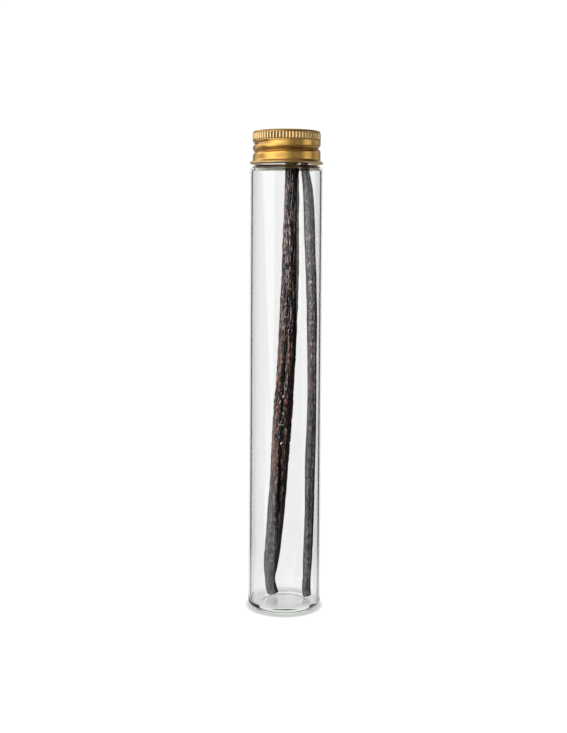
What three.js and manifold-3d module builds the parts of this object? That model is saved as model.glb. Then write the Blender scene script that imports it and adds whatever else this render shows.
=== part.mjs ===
// Two cured vanilla pods standing in a capped glass tube.
// Millimetres, +Z up. The origin is on the tube's axis, on the plane that the tube stands on.
// +X is to the right and -Y to the front. Both pods lean in the rear half of the tube.
import * as THREE from "three";
import { mergeVertices } from "three/addons/utils/BufferGeometryUtils.js";
import Module from "manifold-3d";

const wasm = await Module();
wasm.setup();

// ---- Driving dimensions -------------------------------------------------------------------

const tube = {
  radius: 15.0,
  wall: 1.2,
  heelRadius: 2.8, // outside, where the wall turns into the base
  innerHeelRadius: 1.4,
  baseThickness: 2.7,
  standRingInner: 10.6, // the base is pushed up inside this radius
  pushUpRadius: 7.6, // where the slope of the push-up turns level
  pushUp: 0.5,
  shoulderRadius: 2.5,
  innerShoulderRadius: 1.4,
  shoulderTop: 181.7, // height at which the shoulder meets the neck
  neckRadius: 12.2,
  neckBore: 10.8,
  neckFillet: 0.5,
  lipRadius: 0.6,
  sides: 48,
};

const cap = {
  height: 13.45,
  top: 195.75,
  sheet: 0.4,
  bandRadius: 13.85, // the plain skirt
  topEdgeRadius: 1.0,
  rimRadius: 15.0, // the rolled lower edge at its widest
  curlRadius: 0.45,
  creaseHeight: 1.4, // above the cap's underside
  hemStep: 0.15, // the hem under the crease stands out this far
  plainBand: 0.7, // height above the crease that no groove reaches
  stepHeight: 0.2, // over which the sheet steps in or out
  neckingBelow: 0.3, // the sheet starts to step in this far below the knurled band
  threadRows: 11,
  sides: 48,
};

const knurl = {
  teeth: 64,
  crestRadius: 13.9,
  rootRadius: 13.4,
  height: 2.95,
  belowTop: 0.9, // from the cap's top down to the knurled band
  bevel: 0.35,
  shellInset: 0.1, // the sheet behind the teeth lies this far inside their roots
  sunk: 0.3, // how far the toothed ring reaches inside their roots
};

const thread = {
  pitch: 3.25,
  grooveDepth: 0.8,
  grooveHalfWidth: 0.72,
  leftHeight: 187.1, // height of the rolled groove where it first passes the left side
  fadeInStart: 60, // degrees of turn, counted anticlockwise from +X as seen from above
  fadeInEnd: 130,
  fadeOutStart: 590,
  fadeOutEnd: 655,
  ridgeHeight: 0.6, // the glass thread, above the neck
  ridgeHalfWidth: 0.4,
  ridgeStart: 150,
  ridgeEnd: 440,
  ridgeSunk: 0.4, // depth of the ridge's foot inside the neck
  ridgeSteps: 34,
};

const fitGap = 0.3; // between the cap and the glass it is screwed on

// A pod is set out by knots up its length: the height, where its centre lies there, and its
// half width from left to right.
const broadPod = {
  name: "broad_pod",
  knots: [
    { z: 3.2, x: -4.4, y: 3.8, half: 2.35 },
    { z: 6, x: -5.45, y: 3.85, half: 2.25 },
    { z: 10.2, x: -6.0, y: 4.0, half: 2.1 },
    { z: 15.4, x: -5.75, y: 4.3, half: 2.85 },
    { z: 25.4, x: -4.8, y: 4.8, half: 3.35 },
    { z: 50.4, x: -2.75, y: 5.7, half: 3.5 },
    { z: 75.4, x: -1.3, y: 6.3, half: 3.7 },
    { z: 101.4, x: 0.6, y: 6.6, half: 3.6 },
    { z: 126.4, x: 1.4, y: 6.8, half: 3.5 },
    { z: 151.4, x: 1.9, y: 6.9, half: 3.2 },
    { z: 176.4, x: 2.3, y: 6.9, half: 2.75 },
    { z: 185.4, x: 2.4, y: 6.9, half: 2.5 },
    { z: 191.9, x: 2.45, y: 6.9, half: 2.2 },
  ],
  // The long furrow down the front: height, degrees round from the front to the right, half
  // width and depth.
  furrow: [
    { z: 23.4, turn: 36, half: 0.5, depth: 0 },
    { z: 34.4, turn: 29, half: 0.7, depth: 0.4 },
    { z: 53.4, turn: 13, half: 1.0, depth: 0.9 },
    { z: 70.4, turn: 4, half: 1.15, depth: 1.0 },
    { z: 88.4, turn: -14, half: 1.0, depth: 1.1 },
    { z: 105.4, turn: -10, half: 0.8, depth: 0.9 },
    { z: 126.4, turn: -3, half: 0.5, depth: 0.35 },
    { z: 151.4, turn: 4, half: 0.4, depth: 0 },
  ],
  depthShare: 0.9, // front to back, as a share of the width
  footSlant: -0.15, // rise of the cut foot for each millimetre to the right
  footRound: 0.7,
  tipRound: 3.0,
  wrinklePhase: 0.4,
  sides: 28,
  rows: 46,
};

const slenderPod = {
  name: "slender_pod",
  knots: [
    { z: 3.2, x: 9.65, y: 0.9, half: 1.8 },
    { z: 6.4, x: 9.3, y: 1.0, half: 1.85 },
    { z: 12, x: 9.45, y: 1.1, half: 1.7 },
    { z: 17.4, x: 9.65, y: 1.2, half: 1.88 },
    { z: 37.4, x: 10.3, y: 1.5, half: 1.9 },
    { z: 61.4, x: 10.7, y: 1.6, half: 2.18 },
    { z: 81.4, x: 11.2, y: 1.6, half: 2.05 },
    { z: 101.4, x: 11.15, y: 1.6, half: 2.1 },
    { z: 126.4, x: 10.85, y: 1.9, half: 2.25 },
    { z: 151.4, x: 9.95, y: 2.5, half: 2.35 },
    { z: 171.4, x: 9.05, y: 3.0, half: 2.07 },
    { z: 180.4, x: 7.85, y: 3.3, half: 1.72 },
    { z: 189.4, x: 6.95, y: 3.4, half: 1.45 },
  ],
  furrow: [
    { z: 31.4, turn: 62, half: 0.3, depth: 0 },
    { z: 61.4, turn: 58, half: 0.4, depth: 0.3 },
    { z: 126.4, turn: 52, half: 0.45, depth: 0.35 },
    { z: 151.4, turn: 60, half: 0.3, depth: 0 },
  ],
  depthShare: 0.92,
  footSlant: 0.1,
  footRound: 0.6,
  tipRound: 2.5,
  wrinklePhase: 2.9,
  sides: 24,
  rows: 42,
};

// Lengthwise wrinkles round a pod: how many fit round it, their share of the half width, and
// how far and over what length they wander sideways.
const wrinkles = [
  { count: 4, share: 0.045, wander: 1.3, length: 23 },
  { count: 7, share: 0.04, wander: 1.6, length: 14 },
  { count: 9, share: 0.025, wander: 1.1, length: 9 },
];

const podRows = {
  crowding: 0.9, // how much closer together a pod's rows lie towards its ends, from 0 to 1
  slantedLength: 5, // over which the slant of the cut foot dies out up the pod
  tangentStep: 0.5, // half the stretch of centreline that gives its direction
};

// ---- Small helpers ------------------------------------------------------------------------

const degrees = Math.PI / 180;
const point = (radius, height) => new THREE.Vector2(radius, height);

function smoothstep(from, to, value) {
  return THREE.MathUtils.smoothstep(value, from, to);
}

// Points on an arc of a profile, from one angle to another in degrees.
function arc(centreRadius, centreHeight, radius, from, to, steps) {
  const points = [];
  for (let i = 0; i <= steps; i++) {
    const angle = (from + ((to - from) * i) / steps) * degrees;
    points.push(point(
      centreRadius + radius * Math.cos(angle),
      centreHeight + radius * Math.sin(angle),
    ));
  }
  return points;
}

// Points straight up or down a wall of a profile.
function wall(radius, from, to, steps) {
  const points = [];
  for (let i = 0; i <= steps; i++) {
    points.push(point(radius, THREE.MathUtils.lerp(from, to, i / steps)));
  }
  return points;
}

// Turns a profile of radius and height round the Z axis.
function turned(profile, sides) {
  return new THREE.LatheGeometry(profile, sides).rotateX(Math.PI / 2);
}

// A smooth curve through one value of the knots, by height.
function through(knots, key, z) {
  const last = knots.length - 1;
  const slope = (i) => {
    const a = knots[Math.max(i - 1, 0)];
    const b = knots[Math.min(i + 1, last)];
    return (b[key] - a[key]) / (b.z - a.z);
  };
  let i = 0;
  while (i < last - 1 && z > knots[i + 1].z) i++;
  const span = knots[i + 1].z - knots[i].z;
  const t = (z - knots[i].z) / span;
  const rise = t * t * (3 - 2 * t);
  return (
    knots[i][key] * (1 - rise) +
    knots[i + 1][key] * rise +
    span * slope(i) * t * (1 - t) * (1 - t) -
    span * slope(i + 1) * t * t * (1 - t)
  );
}

function solidFrom(geometry) {
  const bare = geometry.clone();
  bare.deleteAttribute("normal");
  bare.deleteAttribute("uv");
  const merged = mergeVertices(bare, 1e-4);
  return new wasm.Manifold(new wasm.Mesh({
    numProp: 3,
    vertProperties: merged.attributes.position.array,
    triVerts: new Uint32Array(merged.index.array),
  }));
}

function geometryFrom(solid) {
  const mesh = solid.getMesh();
  const geometry = new THREE.BufferGeometry();
  geometry.setAttribute("position", new THREE.BufferAttribute(mesh.vertProperties, 3));
  geometry.setIndex(new THREE.BufferAttribute(mesh.triVerts, 1));
  return geometry;
}

function named(name, geometry, material) {
  const mesh = new THREE.Mesh(geometry, material);
  mesh.name = name;
  return mesh;
}

// ---- The screw thread, shared by the glass neck and the cap -------------------------------

const leftSide = 180; // degrees of turn

// Height of the rolled groove's middle after that many degrees of turn.
function grooveHeight(turn) {
  return thread.leftHeight + (thread.pitch * (turn - leftSide)) / 360;
}

// How deep the groove is pressed in at a place on the skirt.
function grooveDepthAt(angle, height) {
  let depth = 0;
  for (let turn = angle; turn < thread.fadeOutEnd; turn += 360) {
    if (turn < thread.fadeInStart) continue;
    const fade =
      smoothstep(thread.fadeInStart, thread.fadeInEnd, turn) *
      (1 - smoothstep(thread.fadeOutStart, thread.fadeOutEnd, turn));
    const away = (height - grooveHeight(turn)) / thread.grooveHalfWidth;
    depth += thread.grooveDepth * fade * Math.exp(-away * away);
  }
  return depth;
}

// ---- Glass tube ---------------------------------------------------------------------------

const lipHeight = cap.top - cap.sheet - fitGap;

// Outside from the middle of the base up to the lip, then down the inside.
function tubeProfile() {
  const inner = tube.radius - tube.wall;
  const shoulderFoot = tube.shoulderTop - tube.shoulderRadius;
  const innerShoulderTop = tube.shoulderTop - tube.wall;
  return [
    point(0, tube.pushUp),
    point(tube.pushUpRadius, tube.pushUp * 0.7),
    point(tube.standRingInner, 0),
    ...arc(tube.radius - tube.heelRadius, tube.heelRadius, tube.heelRadius, -90, 0, 5),
    ...arc(tube.radius - tube.shoulderRadius, shoulderFoot, tube.shoulderRadius, 0, 80, 5),
    point(tube.neckRadius, tube.shoulderTop + tube.neckFillet),
    ...arc(tube.neckRadius - tube.lipRadius, lipHeight - tube.lipRadius,
      tube.lipRadius, 0, 90, 2),
    point(tube.neckBore, lipHeight - tube.lipRadius / 2),
    point(tube.neckBore, innerShoulderTop + tube.neckFillet),
    ...arc(inner - tube.innerShoulderRadius, innerShoulderTop - tube.innerShoulderRadius,
      tube.innerShoulderRadius, 90, 0, 4),
    ...arc(inner - tube.innerHeelRadius, tube.baseThickness + tube.innerHeelRadius,
      tube.innerHeelRadius, 0, -90, 4),
    point(0, tube.baseThickness),
  ];
}

// The ridge moulded round the neck, which the cap screws on to. In its section +X points
// straight out of the neck and +Y up, and its foot is sunk in the neck.
function neckThread() {
  const section = new THREE.Shape([
    point(-thread.ridgeSunk, -thread.ridgeHalfWidth * 1.5),
    point(thread.ridgeHeight, -thread.ridgeHalfWidth * 0.5),
    point(thread.ridgeHeight, thread.ridgeHalfWidth * 0.5),
    point(-thread.ridgeSunk, thread.ridgeHalfWidth * 1.5),
  ]);
  const ridge = new THREE.ExtrudeGeometry(section, {
    steps: thread.ridgeSteps,
    depth: 1,
    bevelEnabled: false,
  });
  const position = ridge.attributes.position;
  for (let i = 0; i < position.count; i++) {
    const turn = THREE.MathUtils.lerp(thread.ridgeEnd, thread.ridgeStart, position.getZ(i));
    const out = tube.neckRadius + position.getX(i);
    // The ridge runs half a pitch above the groove that catches under it.
    const height = grooveHeight(turn) + thread.pitch / 2 + position.getY(i);
    position.setXYZ(i,
      out * Math.cos(turn * degrees),
      out * Math.sin(turn * degrees),
      height);
  }
  return ridge;
}

function glassTube() {
  const glass = new THREE.MeshStandardMaterial({
    color: 0xf2f5f3, roughness: 0.02, metalness: 0, transparent: true, opacity: 0.3,
  });
  const body = solidFrom(turned(tubeProfile(), tube.sides));
  const ridge = solidFrom(neckThread());
  return named("glass_tube", geometryFrom(body.add(ridge)), glass);
}

// ---- Screw cap ----------------------------------------------------------------------------

const knurlTop = cap.top - knurl.belowTop;
const knurlBottom = knurlTop - knurl.height;

// The plain turned shell, before the thread is rolled in: outside from the curl up to the top,
// then back down the inside. It is necked in behind the knurled band.
function capProfile() {
  const bottom = cap.top - cap.height;
  const crease = bottom + cap.creaseHeight;
  const curl = cap.curlRadius;
  const inner = cap.bandRadius - cap.sheet;
  const behindKnurl = knurl.rootRadius - knurl.shellInset;
  const insideKnurl = behindKnurl - cap.sheet;
  const step = cap.stepHeight;
  const threadFoot = crease + cap.plainBand;
  const threadTop = knurlBottom - cap.neckingBelow;
  return [
    point(inner, bottom + curl),
    ...arc(cap.rimRadius - curl, bottom + curl, curl, -150, 60, 5),
    point(cap.bandRadius + cap.hemStep, crease),
    point(cap.bandRadius, crease + step),
    ...wall(cap.bandRadius, threadFoot, threadTop, cap.threadRows),
    point(behindKnurl, knurlBottom + step),
    point(behindKnurl, knurlTop - step),
    ...arc(cap.bandRadius - cap.topEdgeRadius, cap.top - cap.topEdgeRadius,
      cap.topEdgeRadius, 0, 90, 3),
    point(0, cap.top),
    point(0, cap.top - cap.sheet),
    point(insideKnurl - cap.topEdgeRadius, cap.top - cap.sheet),
    point(insideKnurl, cap.top - cap.sheet - cap.topEdgeRadius),
    point(insideKnurl, knurlBottom + step),
    ...wall(inner, threadTop, threadFoot, cap.threadRows),
    point(inner, bottom + curl),
  ];
}

// Rolls the helical groove into the sheet, outside and inside alike.
function rollThread(shell) {
  const position = shell.attributes.position;
  for (let i = 0; i < position.count; i++) {
    const x = position.getX(i);
    const y = position.getY(i);
    const radius = Math.hypot(x, y);
    if (radius < cap.bandRadius - 2 * cap.sheet) continue;
    const angle = (Math.atan2(y, x) / degrees + 360) % 360;
    const scale = (radius - grooveDepthAt(angle, position.getZ(i))) / radius;
    position.setX(i, x * scale);
    position.setY(i, y * scale);
  }
  return shell;
}

// The toothed grip band round the cap's upper edge: a plain ring in which every other column
// is drawn in to the roots of the teeth.
function knurledBand() {
  const foot = knurl.rootRadius - knurl.sunk;
  const ring = turned([
    point(foot, knurlBottom),
    point(knurl.rootRadius, knurlBottom),
    point(knurl.crestRadius, knurlBottom + knurl.bevel),
    point(knurl.crestRadius, knurlTop - knurl.bevel),
    point(knurl.rootRadius, knurlTop),
    point(foot, knurlTop),
    point(foot, knurlBottom),
  ], 2 * knurl.teeth);
  const position = ring.attributes.position;
  for (let i = 0; i < position.count; i++) {
    const column = Math.round(ring.attributes.uv.getX(i) * 2 * knurl.teeth);
    const radius = Math.hypot(position.getX(i), position.getY(i));
    if (column % 2 === 0 || radius <= knurl.rootRadius) continue;
    position.setX(i, (position.getX(i) * knurl.rootRadius) / radius);
    position.setY(i, (position.getY(i) * knurl.rootRadius) / radius);
  }
  return ring;
}

function screwCap() {
  const goldAluminium = new THREE.MeshStandardMaterial({
    color: 0xc89a4a, roughness: 0.32, metalness: 1,
  });
  const shell = solidFrom(rollThread(turned(capProfile(), cap.sides)));
  return named("screw_cap", geometryFrom(shell.add(solidFrom(knurledBand()))), goldAluminium);
}

// ---- Vanilla pods -------------------------------------------------------------------------

const frontTurn = 90; // a pod's front lies this many degrees before its right side

// Share of its half width by which a pod's skin stands out or falls in at a place.
function wrinkleAt(pod, angle, z) {
  let share = 0;
  wrinkles.forEach((w, i) => {
    const phase = pod.wrinklePhase * (i + 1);
    const wander = w.wander * Math.sin(z / w.length + phase);
    share += w.share * Math.cos(w.count * angle + wander + phase);
  });
  return share;
}

// How deep a pod's furrow is at a place, where the pod's half width is as given.
function furrowDepthAt(pod, angle, z, half) {
  const furrow = pod.furrow;
  if (z < furrow[0].z || z > furrow[furrow.length - 1].z) return 0;
  const middle = (through(furrow, "turn", z) - frontTurn) * degrees;
  const away = Math.atan2(Math.sin(angle - middle), Math.cos(angle - middle));
  const share = (away * half) / through(furrow, "half", z);
  return through(furrow, "depth", z) * Math.exp(-share * share);
}

function podCentre(pod, z) {
  return new THREE.Vector3(through(pod.knots, "x", z), through(pod.knots, "y", z), z);
}

// How far the rounding of an end has closed in, from 1 on the body to 0 at the very end.
function endShare(distance, roundLength) {
  const t = Math.min(distance / roundLength, 1);
  return Math.sqrt(1 - (1 - t) * (1 - t));
}

// Direction of the centreline at a height.
function podDirection(pod, z) {
  const foot = pod.knots[0].z;
  const tip = pod.knots[pod.knots.length - 1].z;
  const above = podCentre(pod, Math.min(z + podRows.tangentStep, tip));
  const below = podCentre(pod, Math.max(z - podRows.tangentStep, foot));
  return above.sub(below).normalize();
}

// A ball whose rings of latitude are laid out up the pod's bent centreline.
function podGeometry(pod) {
  const foot = pod.knots[0].z;
  const tip = pod.knots[pod.knots.length - 1].z;
  const ball = new THREE.SphereGeometry(1, pod.sides, pod.rows).rotateX(Math.PI / 2);
  const position = ball.attributes.position;
  const sideways = new THREE.Vector3();
  const backwards = new THREE.Vector3();
  for (let i = 0; i < position.count; i++) {
    const angle = Math.atan2(position.getY(i), position.getX(i));
    const v = ball.attributes.uv.getY(i);
    const share = v - (podRows.crowding * Math.sin(2 * Math.PI * v)) / (2 * Math.PI);
    const z = THREE.MathUtils.lerp(foot, tip, share);
    const along = podDirection(pod, z);
    sideways.set(1, 0, 0).addScaledVector(along, -along.x).normalize();
    backwards.crossVectors(along, sideways);
    const ends = endShare(z - foot, pod.footRound) * endShare(tip - z, pod.tipRound);
    const half = through(pod.knots, "half", z);
    const swollen = half * (1 + wrinkleAt(pod, angle, z)) - furrowDepthAt(pod, angle, z, half);
    const out = swollen * ends;
    const right = out * Math.cos(angle);
    const slant = pod.footSlant * (1 - smoothstep(0, podRows.slantedLength, z - foot));
    const skin = podCentre(pod, z);
    skin.addScaledVector(sideways, right);
    skin.addScaledVector(backwards, out * pod.depthShare * Math.sin(angle));
    position.setXYZ(i, skin.x, skin.y, skin.z + slant * right);
  }
  return ball;
}

function vanillaPod(pod) {
  const curedSkin = new THREE.MeshStandardMaterial({
    color: 0x2b1d18, roughness: 0.45, metalness: 0,
  });
  return named(pod.name, podGeometry(pod), curedSkin);
}

// ---- The whole ----------------------------------------------------------------------------

const vanillaPodTube = new THREE.Group();
vanillaPodTube.add(glassTube());
vanillaPodTube.add(screwCap());
vanillaPodTube.add(vanillaPod(broadPod));
vanillaPodTube.add(vanillaPod(slenderPod));

export default vanillaPodTube;
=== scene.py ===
"""Two cured vanilla pods in a clear glass tube with a gold screw cap, in a white studio."""

import math

import bpy
import numpy as np
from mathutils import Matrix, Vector, noise


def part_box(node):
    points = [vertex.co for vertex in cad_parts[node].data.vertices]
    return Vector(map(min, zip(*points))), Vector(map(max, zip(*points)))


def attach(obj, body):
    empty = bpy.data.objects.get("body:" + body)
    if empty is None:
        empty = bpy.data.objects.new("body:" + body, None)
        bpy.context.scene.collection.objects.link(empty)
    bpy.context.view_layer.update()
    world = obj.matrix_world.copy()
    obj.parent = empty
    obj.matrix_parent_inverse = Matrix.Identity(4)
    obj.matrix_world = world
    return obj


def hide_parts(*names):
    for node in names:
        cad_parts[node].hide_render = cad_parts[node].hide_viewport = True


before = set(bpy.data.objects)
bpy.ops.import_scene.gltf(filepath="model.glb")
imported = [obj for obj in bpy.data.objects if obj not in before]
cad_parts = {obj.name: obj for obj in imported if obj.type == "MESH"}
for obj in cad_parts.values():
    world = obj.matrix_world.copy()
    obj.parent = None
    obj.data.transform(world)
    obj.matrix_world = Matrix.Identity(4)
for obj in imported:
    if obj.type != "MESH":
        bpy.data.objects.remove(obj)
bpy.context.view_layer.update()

MM = 0.001  # every size below is in millimetres, and every mesh in metres

# ---- Sizes taken from the frame ------------------------------------------------------------

tube_low, tube_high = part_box("glass_tube")
cap_low, cap_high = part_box("screw_cap")

TUBE_RADIUS = (tube_high.x - tube_low.x) / 2 / MM
LIP_HEIGHT = tube_high.z / MM
CAP_TOP = cap_high.z / MM
CAP_BOTTOM = cap_low.z / MM + 0.02  # the faceted bead hangs this much lower than the turned one

# ---- Driving dimensions --------------------------------------------------------------------

WALL = 1.2
HEEL_RADIUS = 2.8
INNER_HEEL_RADIUS = 1.4
BASE_THICKNESS = 2.7
SHOULDER_RADIUS = 2.5
INNER_SHOULDER_RADIUS = 1.4
SHOULDER_TOP = 181.7
NECK_RADIUS = 12.2
NECK_BORE = 10.8
NECK_FILLET = 0.5
LIP_RADIUS = 0.6
STAND_RING_INNER = 10.6
PUSH_UP_RADIUS = 7.6
PUSH_UP = 0.5
TUBE_COLUMNS = 384
SAME_RADIUS = 0.01  # two radii nearer than this are one

CAP_SHEET = 0.4
CAP_BAND_RADIUS = 13.85
CAP_RIM_RADIUS = 15.0
CAP_EDGE_RADIUS = 1.0
CAP_CURL_RADIUS = 0.45
CAP_CREASE = CAP_BOTTOM + 1.4
CAP_HEM_STEP = 0.15
CAP_STEP = 0.2

TEETH = 64
COLUMNS_PER_TOOTH = 8
KNURL_CREST = 13.9
KNURL_ROOT = 13.4
KNURL_TOP = CAP_TOP - 0.9
KNURL_BOTTOM = KNURL_TOP - 2.95
KNURL_BEVEL = 0.35
TOOTH_ROUNDNESS = 0.55  # below 1, for broad crests and narrow roots

PITCH = 3.25
GROOVE_DEPTH = 0.8
GROOVE_HALF_WIDTH = 0.72
GROOVE_LEFT_HEIGHT = 187.1
GROOVE_FADES = (60, 130, 556, 640)  # degrees of turn: in from, in to, out from, out to
RIDGE_HEIGHT = 0.6
RIDGE_HALF_WIDTH = 0.5
RIDGE_TURNS = (150, 440)  # degrees of turn over which the glass thread runs
RIDGE_FADE = 30

PAINTED_SHADE_IN_GROOVE = 0.8  # share of the painted shade in the roots of the knurls that the groove gets
PAINTED_HIGHLIGHT_ON_BEAD = 0.25  # share of the painted highlight on the knurls' crests that the curled bead gets

# Up each pod: height, where its centre lies there (x, y), half its width from left to right.
BROAD_POD = {
    "knots": (
        (3.2, -4.4, 3.8, 2.35),
        (6, -5.45, 3.85, 2.25),
        (10.2, -6.0, 4.0, 2.1),
        (15.4, -5.75, 4.3, 2.85),
        (25.4, -4.8, 4.8, 3.35),
        (50.4, -2.75, 5.7, 3.5),
        (75.4, -1.3, 6.3, 3.7),
        (101.4, 0.6, 6.6, 3.6),
        (126.4, 1.4, 6.8, 3.5),
        (151.4, 1.9, 6.9, 3.2),
        (176.4, 2.3, 6.9, 2.75),
        (185.4, 2.4, 6.9, 2.5),
        (191.9, 2.45, 6.9, 2.2),
    ),
    # Height, degrees round from the front to the right, half width and depth of the long furrow.
    "furrow": (
        (23.4, 36, 0.5, 0.0),
        (34.4, 29, 0.7, 0.4),
        (53.4, 13, 1.0, 0.9),
        (70.4, 4, 1.15, 1.0),
        (88.4, -14, 1.0, 1.1),
        (105.4, -10, 0.8, 0.9),
        (126.4, -3, 0.5, 0.35),
        (151.4, 4, 0.4, 0.0),
    ),
    # Height, how deep the wrinkles are in millimetres, how oily the skin is, and how much slate
    # grey lies over it.
    "skin": (
        (3.2, 0.06, 0.0, 1.0),
        (29, 0.12, 0.05, 0.9),
        (46, 0.24, 0.3, 0.5),
        (63, 0.42, 1.0, 0.12),
        (101, 0.45, 0.8, 0.1),
        (121, 0.45, 0.35, 0.4),
        (161, 0.42, 0.2, 0.5),
        (191.9, 0.38, 0.2, 0.5),
    ),
    # Height, degrees round from the front to the right, half width and strength of the flecks.
    "flecks": (
        (3.2, 0, 3.0, 0.25),
        (60, -10, 3.0, 0.2),
        (120, -20, 2.5, 0.5),
        (191.9, -20, 2.5, 0.5),
    ),
    # Height, degrees round to the right where the painted shade on the side away from the lamps
    # sets in, over how many, and how deep it is.
    "rubbed": (
        (3.2, 28, 16, 0.5),
        (90, 34, 16, 0.2),
        (125, 26, 16, 1.0),
        (191.9, 20, 14, 1.0),
    ),
    "ridges": 20,
    "depth_share": 0.9,
    "foot_slant": -0.15,
    "foot_round": 0.7,
    "tip_round": 3.0,
    "phase": 0.4,
    "columns": 148,
    "rows": 670,
    "seed": 3.0,
}
SLENDER_POD = {
    "knots": (
        (3.2, 9.65, 0.9, 1.8),
        (6.4, 9.3, 1.0, 1.85),
        (12, 9.45, 1.1, 1.7),
        (17.4, 9.65, 1.2, 1.88),
        (37.4, 10.3, 1.5, 1.9),
        (61.4, 10.7, 1.6, 2.18),
        (81.4, 11.2, 1.6, 2.05),
        (101.4, 11.15, 1.6, 2.1),
        (126.4, 10.85, 1.9, 2.25),
        (151.4, 9.95, 2.5, 2.35),
        (171.4, 9.05, 3.0, 2.07),
        (180.4, 7.85, 3.3, 1.72),
        (189.4, 6.95, 3.4, 1.45),
    ),
    "furrow": (
        (31.4, 62, 0.3, 0.0),
        (61.4, 58, 0.4, 0.3),
        (126.4, 52, 0.45, 0.35),
        (151.4, 60, 0.3, 0.0),
    ),
    "skin": (
        (3.2, 0.05, 0.0, 1.0),
        (41.4, 0.09, 0.1, 0.95),
        (91.4, 0.12, 0.2, 0.7),
        (151.4, 0.1, 0.12, 0.78),
        (189.4, 0.08, 0.08, 0.85),
    ),
    "flecks": (
        (3.2, -8, 1.2, 0.15),
        (60, 0, 1.2, 0.25),
        (100, -12, 1.0, 0.3),
        (112, -12, 1.0, 0.8),
        (172, -22, 0.8, 0.8),
        (189.4, -22, 0.8, 0.2),
    ),
    "rubbed": (
        (3.2, 48, 14, 1.0),
        (110, 48, 14, 1.0),
        (130, 60, 14, 0.4),
        (189.4, 60, 14, 0.4),
    ),
    "ridges": 12,
    "depth_share": 0.92,
    "foot_slant": 0.1,
    "foot_round": 0.6,
    "tip_round": 2.5,
    "phase": 2.9,
    "columns": 104,
    "rows": 670,
    "seed": 41.0,
}
# Lobes round a pod: how many, their share of the half width, their wander and its length.
LOBES = (
    (4, 0.045, 1.3, 23),
    (7, 0.04, 1.6, 14),
    (9, 0.025, 1.1, 9),
)
# Noise that shapes a pod's skin: the size of its cells across and along, and its own seed.
SKIN_FOLDS = {
    "bend": (5, 20, 0),
    "drift": (2.2, 13, 50),
    "braid": (1.4, 9, 10),
    "strand": (0.9, 4.5, 20),
    "crumple": (0.9, 1.2, 30),
    "wander": (8, 5, 40),
}
MEAN_WRINKLE = 0.5  # of the deepest, so that the wrinkled skin is as wide as the plain one
RIDGE_DRIFT = 4.0  # radians by which the long ridges wander round the pod
BEND = 0.4  # radians by which the short folds stray from straight up
SHORT_FOLDS = 0.5  # how deep they are, as a share of the long ridges
FOLD_REACH = 0.3  # of the noise, from the bottom of a short fold to its rim
FOLD_SHARPNESS = 0.6  # below 1, for a sharp bottom
CRUMPLE_DEPTH = 0.45  # of the lumps in the wet skin
CRUMPLE_LIMIT = 0.6  # of the noise, so that the lumps are blunt
WET_SKIN = 0.4  # how far the lumps reach outside the furrow
OILY_SKIN = 0.3  # and how far the oil does
SHADE_SIDE_CLEARS = 0.85  # of the slate grey and of the painted ridge sheen, taken off on the side under painted shade
FURROW_WANDER = 8  # degrees
SHADE_SIDE_WANDER = 8  # degrees
SHADE_SIDE_END = (100, 135)  # degrees round to the right over which the painted shade on the side away from the lamps ends
CREASES_SHOW = 0.3  # wrinkles this deep get the full painted shade, near-black, in their creases
RIDGES_SHOW = 0.4  # and these get the full painted sheen, pale pinkish grey, on their ridges
ROW_CROWDING = 0.6  # how much closer together the rows lie towards a pod's ends
SLANT_LENGTH = 5.0  # over which the slant of the cut foot dies out up the pod


# ---- Mesh making ---------------------------------------------------------------------------


def arc(centre_radius, centre_height, radius, start, end, steps):
    """Points of a turned profile on an arc, its angles in degrees."""
    angles = np.radians(np.linspace(start, end, steps + 1))
    return [
        (centre_radius + radius * math.cos(a), centre_height + radius * math.sin(a))
        for a in angles
    ]


def wall(radius, start, end, spacing):
    """Points of a turned profile straight up or down a wall."""
    steps = max(int(abs(end - start) / spacing), 1)
    return [(radius, height) for height in np.linspace(start, end, steps + 1)]


def smoothstep(start, end, value):
    t = np.clip((value - start) / (end - start), 0, 1)
    return t * t * (3 - 2 * t)


def closed_skin(name, rings, start, end):
    """A closed mesh from rings of points between two poles, turned outwards and shaded smooth."""
    rows, columns = rings.shape[:2]
    points = np.concatenate([[start], rings.reshape(-1, 3), [end]]) * MM
    ring = np.arange(columns)
    after = (ring + 1) % columns
    last_ring = 1 + (rows - 1) * columns
    faces = [(0, 1 + b, 1 + a) for a, b in zip(ring, after)]
    for row in range(rows - 1):
        low = 1 + row * columns
        high = low + columns
        faces += [(low + a, low + b, high + b, high + a) for a, b in zip(ring, after)]
    faces += [(len(points) - 1, last_ring + a, last_ring + b) for a, b in zip(ring, after)]
    triangles = np.array([(f[0], f[i], f[i + 1]) for f in faces for i in range(1, len(f) - 1)])
    a, b, c = (points[triangles[:, i]] for i in range(3))
    if np.einsum("ij,ij->i", a, np.cross(b, c)).sum() < 0:
        faces = [tuple(reversed(f)) for f in faces]
    mesh = bpy.data.meshes.new(name)
    mesh.from_pydata([tuple(p) for p in points], [], [tuple(int(i) for i in f) for f in faces])
    mesh.shade_smooth()
    piece = bpy.data.objects.new(name, mesh)
    bpy.context.scene.collection.objects.link(piece)
    return piece


def turned(name, profile, columns, reshape=None):
    """A closed profile of radius and height, both ends on the axis, turned round the Z axis.
    reshape(radius, angle, height) gives the radius at a place."""
    radius, height = (np.array(values) for values in zip(*profile[1:-1]))
    angle = np.arange(columns) * 2 * math.pi / columns
    radius, angle = np.broadcast_arrays(radius[:, None], angle)
    height = np.broadcast_to(height[:, None], radius.shape)
    if reshape:
        radius = reshape(radius, angle, height)
    rings = np.stack([radius * np.cos(angle), radius * np.sin(angle), height], axis=-1)
    return closed_skin(name, rings, (0, 0, profile[0][1]), (0, 0, profile[-1][1]))


def keep_values(piece, name, values):
    """Stores a number for each point of a mesh, for its material to read."""
    attribute = piece.data.attributes.new(name, "FLOAT", "POINT")
    attribute.data.foreach_set("value", np.asarray(values, dtype=np.float32))


# ---- The screw thread ----------------------------------------------------------------------


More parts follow.
